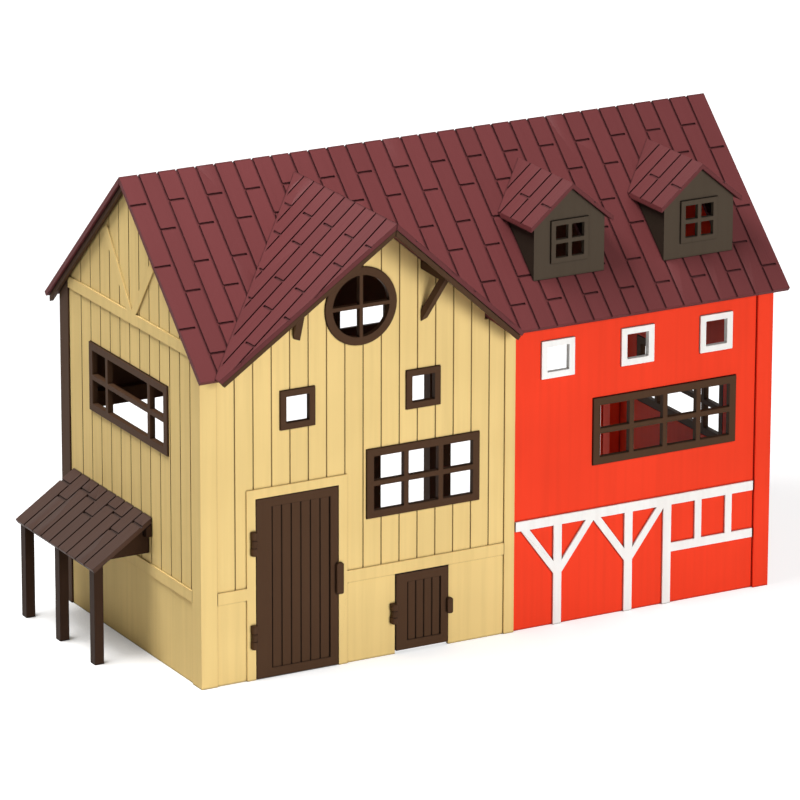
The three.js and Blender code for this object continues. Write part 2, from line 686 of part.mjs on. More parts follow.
// The main roof on both sides of its notch, with a gap, where the cream wall rises through it.
function besideNotch(shoulderTop) {
  return [-1, 1].map((side) => {
    const edge = (y) => [crossCentre + side * (notchHalf(y) - seatGap), y];
    const far = crossCentre + side * crossHalfSpan;
    const outline = [edge(-postProud), [far, -postProud], [far, postDepth], edge(postDepth)];
    return sweptUp(outline, [shoulderTop, ridgeHeight]);
  });
}

function creamFront() {
  const leftEdge = frontPostRight + seatGap;
  const rightEdge = creamLength - seatGap;
  const shoulderTop = wallTop(0);
  const half = notchHalf(0);
  const underCross = (x) => crossUnder(x) - seatGap / Math.cos(crossPitch);
  const sideTop = underCross(crossCentre + half);
  const outline = [[leftEdge, 0], [rightEdge, 0], [rightEdge, shoulderTop], [crossCentre + half, shoulderTop],
    [crossCentre + half, sideTop], [crossCentre, underCross(crossCentre)],
    [crossCentre - half, sideTop], [crossCentre - half, shoulderTop], [leftEdge, shoulderTop]];
  const planks = Math.floor((creamLength - frontPostRight) / frontPlank);
  const seams = Array.from({ length: planks }, (_, index) => (
    seamUp(frontPostRight + frontPlank * (index + 1), [lowBeamTop, ridgeHeight])));
  const beamZs = [lowBeamTop - beamHeight, lowBeamTop];
  const trimLeft = mainDoor.left - doorGap;
  const trimRight = mainDoor.right + doorGap;
  const trims = [
    raised(rectangle([leftEdge, trimLeft], beamZs)),
    raised(rectangle([trimRight, rightEdge], beamZs)),
    raised(rectangle([trimLeft - trimWidth, trimRight + trimWidth], [0, mainDoor.top + doorGap + trimWidth])),
  ];
  const openings = [
    doorHole(mainDoor),
    doorHole(lowDoor),
    circle(crossCentre, roundMiddle, roundWindow.radius + seatGap, roundSides),
    windowHole(wideCentre, wideWindow.middle, wideWindow),
    ...smallCentres.map((x) => windowHole(x, smallWindow.middle, smallWindow)),
  ].map(through);
  const solid = joinAll([cutAll(wallPlate(outline), seams), ...trims,
    tongue(leftEdge, -1, shoulderTop), tongue(rightEdge, 1, shoulderTop)]);
  const standingWall = moved(cutAll(solid, openings), frontFrame());
  const pockets = [...hingePockets(mainDoor, mainHinge), ...hingePockets(lowDoor, lowHinge)];
  return cutAll(standingWall, [...pockets, ...besideNotch(shoulderTop)]);
}

function redFront() {
  const leftEdge = midPostRight + seatGap;
  const rightEdge = rightPostLeft - seatGap;
  const top = wallTop(redRecess);
  const openings = [windowHole(redCentre, redWindow.middle, redWindow),
    ...whiteCentres.map((x) => windowHole(x, whiteWindow.middle, whiteWindow))].map(through);
  const solid = joinAll([wallPlate(rectangle([leftEdge, rightEdge], [0, top])),
    tongue(leftEdge, -1, top), tongue(rightEdge, 1, top)]);
  return moved(cutAll(solid, openings), frontFrame(redRecess));
}

// A gable wall in its own plane, with depths given along the plane's own direction.
function gableWall(sign, windowDepth, windowMiddle, dressed) {
  const nearEdge = sidePostBack + seatGap;
  const farEdge = backPostFront - seatGap;
  const outline = [[nearEdge, 0], [farEdge, 0], [farEdge, underMainGap(farEdge)],
    [ridgeY, underMainGap(ridgeY)], [nearEdge, underMainGap(nearEdge)]].map(([y, z]) => [sign * y, z]);
  const tongueTop = underMainGap(nearEdge - tongueReach);
  const tongues = [tongue(sign * nearEdge, -sign, tongueTop), tongue(sign * farEdge, sign, tongueTop)];
  const dressing = dressed(nearEdge, farEdge);
  const solid = joinAll([cutAll(wallPlate(outline), dressing.seams), ...dressing.trims, ...tongues]);
  return cutAll(solid, [through(windowHole(sign * windowDepth, windowMiddle, gableWindow))]);
}

function leftGableDressing(nearEdge, farEdge) {
  const planks = Math.floor((farEdge - nearEdge) / gablePlank);
  const seams = Array.from({ length: planks }, (_, index) => (
    seamUp(-nearEdge - gableFirstPlank - gablePlank * index, [lowBeamTop, ridgeHeight])));
  const foot = { along: ridgeY - gableFootOffset, height: highBeamTop - beamHeight / 2 };
  const beams = [lowBeamTop, highBeamTop].map((beamTop) => (
    raised(rectangle([-farEdge, -nearEdge], [beamTop - beamHeight, beamTop]))));
  const braces = [gableBackBrace, gableFrontBrace].map(({ along, rise }) => (
    raised(bar([-foot.along, foot.height], [-foot.along - along, highBeamTop + rise], gableBraceWidth))));
  const cover = raised([[-farEdge, 0], [-nearEdge, 0], [-nearEdge, underMainGap(nearEdge)],
    [-ridgeY, underMainGap(ridgeY)], [-farEdge, underMainGap(farEdge)]]);
  return { seams, trims: [...beams, ...braces].map((trim) => trim.intersect(cover)) };
}

function backPanel() {
  const leftEdge = frontPostRight + seatGap;
  const rightEdge = rightPostLeft - seatGap;
  const top = wallTop(houseDepth);
  const height = top - backPanelBottom;
  const panel = wallPlate(rectangle([-rightEdge, -leftEdge], [0, height]));
  const light = through(rectangle([-backLight.right, -backLight.left], [backLight.bottom, backLight.top]));
  const tongues = [tongue(-rightEdge, -1, height), tongue(-leftEdge, 1, height)];
  return moved(joinAll([panel.subtract(light), ...tongues]),
    standing(left, up, new THREE.Vector3(0, houseDepth, backPanelBottom)));
}

const insideBack = backWallFace - seatGap;

// A post inside the open back, as high as the cross beam before it.
const backPost = (x0, x1) => block([x0, x1], [backPostFront, insideBack], [0, backBeamTop]);

function backCrossBeam() {
  const far = backPostFront - seatGap;
  const beamYs = [far - backBeam.thickness, far];
  return block([frontPostRight + seatGap, rightPostLeft - seatGap], beamYs, [backBeam.bottom, backBeamTop]);
}

function timberTrim() {
  const start = midPostRight + timberStartGap;
  const end = rightPostLeft - timberEndGap;
  const railMiddle = timberRailTop - timberRailHeight / 2;
  const posts = [start + timberFirstPost, start + timberFirstPost + timberSpacing];
  const lastPost = posts[1] + timberLastPost;
  const stubs = timberStubShares.map((share) => lastPost + (end - lastPost) * share);
  const outlines = [
    bar([start, railMiddle], [end, railMiddle], timberRailHeight),
    bar([lastPost, timberLowRail], [end, timberLowRail], timberPostWidth),
    ...[...posts, lastPost].map((x) => bar([x, 0], [x, railMiddle], timberPostWidth)),
    ...stubs.map((x) => bar([x, timberLowRail], [x, railMiddle], timberStubWidth)),
    ...posts.flatMap((x) => [-1, 1].map((side) => (
      bar([x, timberBraceFoot], [x + side * timberSpacing / 2, railMiddle], timberBraceWidth)))),
  ];
  const trim = joinAll(outlines.map((outline) => sweptUp(outline, [seatGap, seatGap + timberThickness])));
  return moved(trim, frontFrame(redRecess));
}

// Lean-to
const leanUnder = (x) => leanTop + Math.tan(leanPitch) * x - leanThickness / Math.cos(leanPitch);

function leanRoof() {
  const rise = leanDepth / Math.cos(leanPitch);
  const plate = sweptUp(rectangle([0, leanLength], [0, rise]), [-leanThickness, 0]);
  const plank = leanLength / leanPlankCount;
  const seams = Array.from({ length: leanPlankCount - 1 }, (_, index) => {
    const middle = plank * (index + 1);
    return sweptUp(rectangle([middle - leanSeamWidth / 2, middle + leanSeamWidth / 2], [-rise, rise * 2]),
      [-leanSeamDepth, leanSeamDepth]);
  });
  const joints = Array.from({ length: leanPlankCount }, (_, index) => (
    roofSeamAcross(rise - leanJointStarts[index % leanJointStarts.length],
      [plank * index, plank * (index + 1)])));
  const eave = leanTop - Math.tan(leanPitch) * leanDepth;
  const origin = new THREE.Vector3(-leanDepth, leanStart + leanLength, eave);
  const frame = standing(front, slopeUp(front, leanPitch), origin);
  const slab = moved(cutAll(plate, [...seams, ...joints]), frame);
  return slab.subtract(block([-seatGap, leanDepth], [0, houseDepth], [0, ridgeHeight]));
}

const leanGap = seatGap / Math.cos(leanPitch);

function leanPostSolid() {
  const x0 = leanPostInset - leanDepth;
  const x1 = x0 + leanPost;
  const outline = [[x0, 0], [x1, 0], [x1, leanUnder(x1) - leanGap], [x0, leanUnder(x0) - leanGap]];
  return sweptBack(outline, [-leanPost / 2, leanPost / 2]);
}

const ledgerFoot = leanUnder(-ledgerDepth) - leanGap - ledgerHeight;

function ledger() {
  const outline = [[-ledgerDepth, ledgerFoot], [-seatGap, ledgerFoot],
    [-seatGap, leanUnder(-seatGap) - leanGap], [-ledgerDepth, leanUnder(-ledgerDepth) - leanGap]];
  return sweptBack(outline, [leanStart, leanStart + leanLength]);
}

function leanCheek() {
  const tip = (cheekBottom + leanGap - leanUnder(0)) / Math.tan(leanPitch);
  const ledgerFront = -ledgerDepth - seatGap;
  const outline = [[tip, cheekBottom], [-seatGap, cheekBottom], [-seatGap, ledgerFoot - seatGap],
    [ledgerFront, ledgerFoot - seatGap], [ledgerFront, leanUnder(ledgerFront) - leanGap]];
  return sweptBack(outline, [-cheekThickness / 2, cheekThickness / 2]);
}

// Assembly
const house = new THREE.Group();

function addPiece(parent, name, solid, colour, { at = [0, 0, 0], frame = null } = {}) {
  const [color, roughness] = colours[colour];
  const geometry = geometryOf(solid);
  const mesh = new THREE.Mesh(geometry, new THREE.MeshStandardMaterial({ color, roughness, metalness: 0 }));
  mesh.name = name;
  if (frame) mesh.quaternion.setFromRotationMatrix(frame);
  mesh.position.set(...at);
  parent.add(mesh);
  return mesh;
}

addPiece(house, 'cream_front_wall', creamFront(), 'cream');
addPiece(house, 'red_front_wall', redFront(), 'red');
addPiece(house, 'left_gable_wall', gableWall(-1, gableCentre, gableWindow.middle, leftGableDressing),
  'cream', { frame: leftFrame });
addPiece(house, 'right_gable_wall',
  gableWall(1, rightGableCentre, rightGableMiddle, () => ({ seams: [], trims: [] })),
  'red', { frame: rightFrame, at: [houseLength, 0, 0] });

const postColours = {
  front_left_post: 'cream', front_right_post: 'red', back_left_post: 'brown', back_right_post: 'red' };
for (const [name, solid] of Object.entries(cornerPosts())) addPiece(house, name, solid, postColours[name]);
addPiece(house, 'front_middle_post', middlePost(), 'cream');
addPiece(house, 'back_middle_post', backPost(creamLength, creamLength + postWidth), 'brown');
const studLeft = creamLength + postWidth + backStudGap;
addPiece(house, 'back_stud', backPost(studLeft, studLeft + backStudWidth), 'brown');
addPiece(house, 'back_cross_beam', backCrossBeam(), 'brown');
addPiece(house, 'back_top_panel', backPanel(), 'brown');

addPiece(house, 'main_roof_front', mainRoofFront(), 'roof');
addPiece(house, 'main_roof_back', mainRoofBack(), 'roof');
const rafterInset = gableOverhang - rafterWidth - postProud;
addPiece(house, 'left_gable_rafters', gableRafters([roofLeft + rafterInset, -postProud - seatGap]), 'brown');
addPiece(house, 'right_gable_rafters',
  gableRafters([houseLength + postProud + seatGap, roofRight - rafterInset]), 'brown');
for (const [side, word] of [[-1, 'left'], [1, 'right']]) {
  addPiece(house, `cross_roof_${word}`, crossRoof(side), 'roof');
  addPiece(house, `cross_rafter_${word}`, crossRafter(side), 'brown');
  addPiece(house, `knee_bracket_${word}`, kneeBracket(side), 'brown');
}

const frontAt = (x, z, y = 0) => ({ frame: frontFrame(), at: [x, y, z] });
addPiece(house, 'round_window_frame', roundFrame(), 'brown', frontAt(crossCentre, roundMiddle));
smallCentres.forEach((x, index) => addPiece(house, `small_window_frame_${index + 1}`,
  windowFrame(smallWindow, [1], [1]), 'brown', frontAt(x, smallWindow.middle)));
addPiece(house, 'cream_wide_window_frame', windowFrame(wideWindow, evenShares(3), evenShares(2)), 'brown',
  frontAt(wideCentre, wideWindow.middle));
addPiece(house, 'red_wide_window_frame', windowFrame(redWindow, evenShares(4), evenShares(2)), 'brown',
  frontAt(redCentre, redWindow.middle, redRecess));
whiteCentres.forEach((x, index) => addPiece(house, `white_window_frame_${index + 1}`,
  windowFrame(whiteWindow, [1], [1]), 'white', frontAt(x, whiteWindow.middle, redRecess)));
addPiece(house, 'left_gable_window_frame', windowFrame(gableWindow, gableShares, evenShares(2)), 'brown',
  { frame: leftFrame, at: [0, gableCentre, gableWindow.middle] });
addPiece(house, 'right_gable_window_frame', windowFrame(gableWindow, gableShares, evenShares(2)), 'brown',
  { frame: rightFrame, at: [houseLength, rightGableCentre, rightGableMiddle] });
addPiece(house, 'half_timber_trim', timberTrim(), 'white');

dormerCentres.forEach((x, index) => {
  const at = [x, 0, 0];
  addPiece(house, `dormer_body_${index + 1}`, dormerBody(), 'olive', { at });
  addPiece(house, `dormer_roof_${index + 1}`, dormerRoof(), 'roof', { at });
  addPiece(house, `dormer_window_frame_${index + 1}`,
    windowFrame(dormerWindow, evenShares(2), evenShares(2), dormerWall), 'olive',
    frontAt(x, dormerWindowMiddle, dormerFront));
});

const leanTo = new THREE.Group();
house.add(leanTo);
addPiece(leanTo, 'lean_to_roof', leanRoof(), 'brown');
addPiece(leanTo, 'lean_to_ledger', ledger(), 'brown');
const leanBays = 2;
for (let index = 0; index <= leanBays; index += 1) {
  const y = leanStart + leanPostMargin + (leanLength - leanPostMargin * 2) * index / leanBays;
  addPiece(leanTo, `lean_to_post_${index + 1}`, leanPostSolid(), 'brown', { at: [0, y, 0] });
  addPiece(leanTo, `lean_to_cheek_${index + 1}`, leanCheek(), 'brown', { at: [0, y, 0] });
}

function hangDoor(word, door, hinge, handleSizes) {
  const pivot = new THREE.Group();
  pivot.position.set(hingeX(door), -hingeProud, 0);
  house.add(pivot);
  addPiece(pivot, `${word}_door`, doorLeaf(door, hinge), 'brown');
  addPiece(pivot, `${word}_door_handle`, handle(door, handleSizes), 'brown');
  hinge.middles.forEach((middle, index) => addPiece(pivot, `${word}_door_hinge_${index + 1}`,
    hingeBracket(hinge), 'brown', { at: [0, 0, middle] }));
}

hangDoor('main', mainDoor, mainHinge, mainHandle);
hangDoor('low', lowDoor, lowHinge, lowHandle);

// The part's origin is the middle of its box, on the ground.
house.position.set(-(roofRight - leanDepth) / 2, -(houseDepth + eaveOverhang - prowReach) / 2, 0);
const playset = new THREE.Group();
playset.add(house);

export default playset;
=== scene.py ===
"""Looks for the farm house playset: plastic finishes, soft edges, studio light and the camera.

Every piece is a CAD node. It keeps its shape and gets a small bevel and a material made from nodes:
satin plastic with moulded wood grain along its planks, painted shade in grooves and corners, faces
lighter than a narrow strip along their outer edges, and a slightly different tone for each plank.
"""

import json
import math

import bpy
from mathutils import Matrix, Vector


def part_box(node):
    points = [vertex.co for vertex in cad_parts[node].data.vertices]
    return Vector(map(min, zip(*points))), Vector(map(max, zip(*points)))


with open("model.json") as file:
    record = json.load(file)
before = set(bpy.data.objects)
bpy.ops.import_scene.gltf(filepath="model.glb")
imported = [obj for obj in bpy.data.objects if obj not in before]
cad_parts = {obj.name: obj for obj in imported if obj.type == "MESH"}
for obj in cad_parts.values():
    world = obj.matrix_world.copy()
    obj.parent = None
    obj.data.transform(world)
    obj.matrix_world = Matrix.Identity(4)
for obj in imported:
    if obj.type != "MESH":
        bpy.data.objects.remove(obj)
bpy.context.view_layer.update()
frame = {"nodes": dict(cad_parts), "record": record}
NODES = frame["nodes"]

MM = 0.001
WHITE = (1.0, 1.0, 1.0, 1.0)

# The camera that fits the photograph, found from the house's own edges. Its place and reach are in metres.
CAMERA_AZIMUTH = math.radians(28.80)
CAMERA_DROP = math.radians(17.81)
CAMERA_ROLL = math.radians(0.140)
CAMERA_PLACE = Vector((-1.79795, -3.26278, 1.33088))
CAMERA_REACH = 50.0
LENS_MM = 283.46
SENSOR_MM = 36.0

# Square lamps: place, target and side in metres, and power in watts.
LAMPS = {
    "key": {"place": (0.05, -3.5, 1.1), "target": (0, 0, 0.12), "side": 1.4, "power": 87},
    "fill": {"place": (-2.8, -0.6, 0.5), "target": (0, 0, 0.15), "side": 1.6, "power": 0.5},
    "top": {"place": (-0.45, 0.05, 1.15), "target": (-0.05, 0, 0.15), "side": 0.5, "power": 14},
}

# The soft light from all around, which is slightly warm.
SOFT_LIGHT = 0.13
SOFT_COLOUR = (1.0, 0.99, 0.97, 1.0)

# The floor, in metres. Where it is seen directly it also glows: by the first of the two lifts near the
# house, by the second far from it, and less in the shade, where little of its surroundings is open.
FLOOR_SIZE = 16.0
FLOOR_PLACE = (0, 2.0, 0)
FLOOR_COLOUR = (0.60, 0.60, 0.60, 1.0)
FLOOR_ROUGHNESS = 0.9
FLOOR_GLOSS = 0.1
FLOOR_LIFTS = (0.72, 1.0)
LIFT_REACH = (0.35, 1.3)
SHADOW_REACH = 0.16
SHADOW_RANGE = (0.14, 0.56)
SHADOW_SAMPLES = 16

# Finishes: sRGB colours of the face and of the painted shade in its grooves and corners, roughness,
# gloss as a specular level, the depth of the grain in mm and its streaks per metre, how much the tone
# differs from plank to plank, and how much lighter the faces are than the strip along their outer edges.
FINISHES = {
    "cream": {
        "colour": (238, 204, 137), "groove": (104, 80, 40), "roughness": 0.50, "gloss": 0.04,
        "depth": 0.05, "streaks": 900, "plank_change": 0.05, "face_lift": 0.10},
    "red": {
        "colour": (246, 65, 36), "groove": (120, 12, 8), "roughness": 0.45, "gloss": 0.10,
        "depth": 0.02, "streaks": 700, "plank_change": 0.0, "face_lift": 0.05},
    "roof": {
        "colour": (90, 43, 44), "groove": (24, 7, 9), "roughness": 0.50, "gloss": 0.14,
        "depth": 0.20, "streaks": 1100, "plank_change": 0.16, "face_lift": 0.35},
    "brown": {
        "colour": (70, 49, 34), "groove": (14, 8, 5), "roughness": 0.50, "gloss": 0.07,
        "depth": 0.12, "streaks": 1000, "plank_change": 0.06, "face_lift": 0.35},
    "dark_brown": {
        "colour": (43, 27, 17), "groove": (8, 5, 3), "roughness": 0.50, "gloss": 0.08,
        "depth": 0.14, "streaks": 1000, "plank_change": 0.06, "face_lift": 0.40},
    "glossy_brown": {
        "colour": (59, 39, 30), "groove": (8, 5, 3), "roughness": 0.48, "gloss": 0.20,
        "depth": 0.18, "streaks": 1000, "plank_change": 0.14, "face_lift": 0.45},
    "olive": {
        "colour": (72, 62, 51), "groove": (20, 15, 11), "roughness": 0.50, "gloss": 0.07,
        "depth": 0.06, "streaks": 900, "plank_change": 0.0, "face_lift": 0.20},
    "white": {
        "colour": (253, 252, 249), "groove": (150, 142, 134), "roughness": 0.45, "gloss": 0.12,
        "depth": 0.02, "streaks": 700, "plank_change": 0.0, "face_lift": 0.0},
}

# Pieces whose finish differs from their slot's.
DARK_PIECES = ("lean_to_ledger", "lean_to_post_1", "lean_to_post_2", "lean_to_post_3",
               "lean_to_cheek_1", "lean_to_cheek_2", "lean_to_cheek_3")
OWN_FINISH = {"lean_to_roof": "glossy_brown", **dict.fromkeys(DARK_PIECES, "dark_brown")}

# The dormers' cheeks: their sRGB colour, and how squarely a face points sideways where it begins to
# take that colour and where it has all of it.
CHEEK_COLOUR = (14, 8, 5)
CHEEK_RANGE = (0.5, 0.8)

# The slopes of the roofs, as the turn of their grain away from upright.
MAIN_TILT = math.radians(90 - 43.3)
CROSS_TILT = math.radians(90 - 40.9)
DORMER_TILT = math.radians(90 - 40)
LEAN_TILT = math.radians(90 - 33.7)
UPRIGHT = (0, 0, 0)

# Planked pieces: the turn of their grain, the axis along which the planks follow one another, and the
# first plank's edge and the planks' width in mm in the part's own frame.
PLANKS = {
    "main_roof_front": {"turn": (-MAIN_TILT, 0, 0), "axis": "X", "first": -188.35, "width": 12.869},
    "main_roof_back": {"turn": (MAIN_TILT, 0, 0), "axis": "X", "first": -188.35, "width": 12.869},
    "cross_roof_left": {"turn": (0, CROSS_TILT, 0), "axis": "Y", "first": -123.5, "width": 13.095},
    "cross_roof_right": {"turn": (0, -CROSS_TILT, 0), "axis": "Y", "first": -123.5, "width": 13.095},
    "dormer_roof_1": {"turn": (0, DORMER_TILT, 0), "axis": "Y", "first": -70.0, "width": 13.0},
    "dormer_roof_2": {"turn": (0, DORMER_TILT, 0), "axis": "Y", "first": -70.0, "width": 13.0},
    "lean_to_roof": {"turn": (0, LEAN_TILT, 0), "axis": "Y", "first": -11.5, "width": 12.056},
    "cream_front_wall": {"turn": UPRIGHT, "axis": "X", "first": -172.35, "width": 12.5},
    "left_gable_wall": {"turn": UPRIGHT, "axis": "Y", "first": -63.7, "width": 13.4},
}

# Noises: how far the grain is stretched along the planks, the scale of its coarse part as a share of
# the streaks, and the scales of the clouds and specks per metre.
GRAIN_STRETCH = 28.0
COARSE_SHARE = 0.28
CLOUD_SCALE = 14.0
SPECK_SCALE = 2600.0

# Tones: the part of a noise's range that they follow, and shares of the face's colour, by channel.
CLOUD_RANGE = (0.35, 0.65)
DULL_SHARES = (0.95, 0.94, 0.93)
BRIGHT_SHARES = (1.03, 1.03, 1.03)
STREAK_RANGE = (0.42, 0.72)
STREAK_SHARES = (0.80, 0.77, 0.75)
STREAK_STRENGTH = 0.30

# Outer edges, and grooves and corners with painted shade, are found from how much is open within a reach,
# inside the piece for edges and outside it for the painted shade. An edge or a patch of painted shade ends
# where the open share reaches the end of its range.
EDGE_REACH = 0.9 * MM
EDGE_RANGE = (0.55, 0.95)
FACE_SHARES = (1.6, 1.6, 1.6)
GROOVE_REACH = 1.8 * MM
GROOVE_RANGE = (0.40, 0.86)
GROOVE_SHADE_STRENGTH = 0.92
OPEN_SAMPLES = 8

# The roughness starts below the finish's own, and rises with the streaks and the clouds.
ROUGHNESS_DROP = 0.06
ROUGHNESS_BY_STREAK = 0.14
ROUGHNESS_BY_CLOUD = 0.05

# Relief: the shares of the streaks and of the coarse grain, and how strongly grain and specks show.
STREAK_RELIEF = 0.7
COARSE_RELIEF = 0.5
GRAIN_STRENGTH = 0.8
SPECK_DEPTH = 0.012 * MM
SPECK_STRENGTH = 0.3

# Soft edges
WELD_DISTANCE = 0.01 * MM
BEVEL_WIDTH = 0.25 * MM
BEVEL_SEGMENTS = 2
BEVEL_ANGLE = math.radians(35)

# The sockets of a colour mix, which share their names with those of its other kinds.
MIX_FACTOR = 0
MIX_FIRST = 6
MIX_SECOND = 7
MIX_RESULT = 2


def linear(red, green, blue):
    """An sRGB colour from 0 to 255 as linear values."""
    def channel(value):
        share = value / 255
        return share / 12.92 if share <= 0.04045 else ((share + 0.055) / 1.055) ** 2.4
    return (channel(red), channel(green), channel(blue), 1.0)


def tinted(colour, shares):
    """A linear colour with each channel multiplied by its share."""
    return tuple(min(1.0, channel * share) for channel, share in zip(colour, shares)) + (1.0,)


class Tree:
    """The node tree of a material or a world, with short ways to write it."""

    def __init__(self, owner):
        owner.use_nodes = True
        self.nodes = owner.node_tree.nodes
        self.links = owner.node_tree.links

    def feed(self, node, sockets):
        """Link each socket to another node's output, or set it to a value."""
        for key, source in sockets.items():
            if hasattr(source, "is_output"):
                self.links.new(source, node.inputs[key])
            else:
                node.inputs[key].default_value = source

    def add(self, kind, sockets, **settings):
        """The outputs of a new node with these settings and with what feeds its sockets."""
        node = self.nodes.new(kind)
        for name, value in settings.items():
            setattr(node, name, value)
        self.feed(node, sockets)
        return node.outputs

    def math(self, kind, first, second=0.0, clamp=False):
        return self.add("ShaderNodeMath", {0: first, 1: second}, operation=kind, use_clamp=clamp)[0]

    def mix(self, factor, first, second, blend="MIX"):
        sockets = {MIX_FACTOR: factor, MIX_FIRST: first, MIX_SECOND: second}
        return self.add("ShaderNodeMix", sockets, data_type="RGBA", blend_type=blend)[MIX_RESULT]

    def split(self, vector):
        return self.add("ShaderNodeSeparateXYZ", {0: vector})

    def join(self, x, y, z):
        return self.add("ShaderNodeCombineXYZ", {0: x, 1: y, 2: z})[0]

    def turned(self, vector, turn, stretch):
        """Coordinates turned so that the grain's direction is Z, and stretched along it."""
        sockets = {"Vector": vector, "Rotation": turn, "Scale": (1, 1, stretch)}
        return self.add("ShaderNodeMapping", sockets, vector_type="TEXTURE")[0]

    def noise(self, vector, scale, detail, roughness):
        sockets = {"Vector": vector, "Scale": scale, "Detail": detail, "Roughness": roughness}
        return self.add("ShaderNodeTexNoise", sockets)["Fac"]

    def random(self, value):
        return self.add("ShaderNodeTexWhiteNoise", {"W": value}, noise_dimensions="1D")["Value"]

    def ramp(self, value, reach, results=(0.0, 1.0), kind="LINEAR"):
        """The value's place in a range, as a number between two results."""
        sockets = {"Value": value, "From Min": reach[0], "From Max": reach[1],
                   "To Min": results[0], "To Max": results[1]}
        return self.add("ShaderNodeMapRange", sockets, interpolation_type=kind)[0]

    def openness(self, distance, samples=OPEN_SAMPLES, inside=False):
        """The open share of what lies within a distance, from 0 to 1, outside or inside the piece."""
        return self.add("ShaderNodeAmbientOcclusion", {"Distance": distance}, samples=samples,
                        inside=inside, only_local=inside)["AO"]

    def bump(self, height, distance, strength, normal=None):
        """A bumped normal, on top of another one if that is given."""
        sockets = {"Height": height, "Distance": distance, "Strength": strength}
        if normal is not None:
            sockets["Normal"] = normal
        return self.add("ShaderNodeBump", sockets)[0]

    def seen_directly(self):
        """1 for rays from the camera, a reflection or a clear piece, 0 for rays that light a surface."""
        path = self.add("ShaderNodeLightPath", {})
        seen = self.math("MAXIMUM", path["Is Camera Ray"], path["Is Glossy Ray"])
        return self.math("MAXIMUM", seen, path["Is Transmission Ray"])


def set_camera():
    forward = Vector((math.sin(CAMERA_AZIMUTH) * math.cos(CAMERA_DROP),
                      math.cos(CAMERA_AZIMUTH) * math.cos(CAMERA_DROP),
                      -math.sin(CAMERA_DROP)))
    level = forward.cross(Vector((0, 0, 1))).normalized()
    upright = level.cross(forward)
    right = math.cos(CAMERA_ROLL) * level + math.sin(CAMERA_ROLL) * upright
    up = math.cos(CAMERA_ROLL) * upright - math.sin(CAMERA_ROLL) * level
    data = bpy.data.cameras.new("camera")
    data.lens = LENS_MM
    data.sensor_width = SENSOR_MM
    data.clip_end = CAMERA_REACH
    camera = bpy.data.objects.new("camera", data)
    bpy.context.scene.collection.objects.link(camera)
    turn = Matrix((right, up, -forward)).transposed().to_4x4()
    camera.matrix_world = Matrix.Translation(CAMERA_PLACE) @ turn
    bpy.context.scene.camera = camera


def add_lamp(name, place, target, side, power):
    data = bpy.data.lights.new(name, "AREA")
    data.shape = "SQUARE"
    data.size = side
    data.energy = power
    lamp = bpy.data.objects.new(name, data)
    bpy.context.scene.collection.objects.link(lamp)
    lamp.location = place
    lamp.rotation_euler = (Vector(target) - Vector(place)).to_track_quat("-Z", "Y").to_euler()


def set_world():
    """Soft light on the house, and white wherever the surroundings are seen directly."""
    world = bpy.data.worlds.new("studio")
    bpy.context.scene.world = world
    tree = Tree(world)
    tree.nodes.clear()
    soft = tree.add("ShaderNodeBackground", {"Color": SOFT_COLOUR, "Strength": SOFT_LIGHT})[0]
    white = tree.add("ShaderNodeBackground", {"Color": WHITE, "Strength": 1.0})[0]
    surroundings = tree.add("ShaderNodeMixShader", {0: tree.seen_directly(), 1: soft, 2: white})[0]
    tree.add("ShaderNodeOutputWorld", {"Surface": surroundings})


def floor_lift(tree):
    """How much the floor glows where it is seen directly. It lights no piece, and keeps the shadow."""
    position = tree.add("ShaderNodeNewGeometry", {})["Position"]
    away = tree.add("ShaderNodeVectorMath", {0: position}, operation="LENGTH")["Value"]
    rise = tree.ramp(away, LIFT_REACH, FLOOR_LIFTS, "SMOOTHSTEP")
    shade = tree.ramp(tree.openness(SHADOW_REACH, SHADOW_SAMPLES), SHADOW_RANGE, kind="SMOOTHSTEP")
    return tree.math("MULTIPLY", tree.seen_directly(), tree.math("MULTIPLY", rise, shade))


def floor_material():
    material = bpy.data.materials.new("floor")
    tree = Tree(material)
    shader = tree.nodes["Principled BSDF"]
    tree.feed(shader, {"Base Color": FLOOR_COLOUR, "Roughness": FLOOR_ROUGHNESS,
                       "Specular IOR Level": FLOOR_GLOSS})
    lift = tree.add("ShaderNodeEmission", {"Color": WHITE, "Strength": floor_lift(tree)})[0]
    total = tree.add("ShaderNodeAddShader", {0: shader.outputs[0], 1: lift})[0]
    tree.feed(tree.nodes["Material Output"], {"Surface": total})
    return material


def set_stage():
    bpy.ops.mesh.primitive_plane_add(size=FLOOR_SIZE, location=FLOOR_PLACE)
    floor = bpy.context.object
    floor.name = "floor"
    floor.data.materials.append(floor_material())


def grain_place(tree, coords, mirror):
    """The coordinates that the grain follows. mirror is the X of a ridge with planks on both sides."""
    if mirror is None:
        return coords
    x, y, z = tree.split(coords)
    side = tree.math("ABSOLUTE", tree.math("SUBTRACT", x, mirror))
    return tree.join(tree.math("MULTIPLY", side, -1.0), y, z)


def grain_tone(tree, base, coarse, cloud):
    """The face's colour with dull and bright clouds and darker streaks."""
    clouds = tree.ramp(cloud, CLOUD_RANGE)
    colour = tree.mix(clouds, tinted(base, DULL_SHARES), tinted(base, BRIGHT_SHARES))
    streaks = tree.math("MULTIPLY", tree.ramp(coarse, STREAK_RANGE), STREAK_STRENGTH)
    return tree.mix(streaks, colour, tinted(base, STREAK_SHARES))


def plank_tone(tree, colour, coords, rows, change):
    """The colour in a tone of its own on each plank."""
    along = tree.split(coords)[rows["axis"]]
    steps = tree.math("DIVIDE", tree.math("SUBTRACT", along, rows["first"] * MM), rows["width"] * MM)
    plank = tree.random(tree.math("FLOOR", steps))
    share = tree.math("ADD", 1.0 - change / 2, tree.math("MULTIPLY", plank, change))
    return tree.mix(1.0, colour, tree.join(share, share, share), "MULTIPLY")


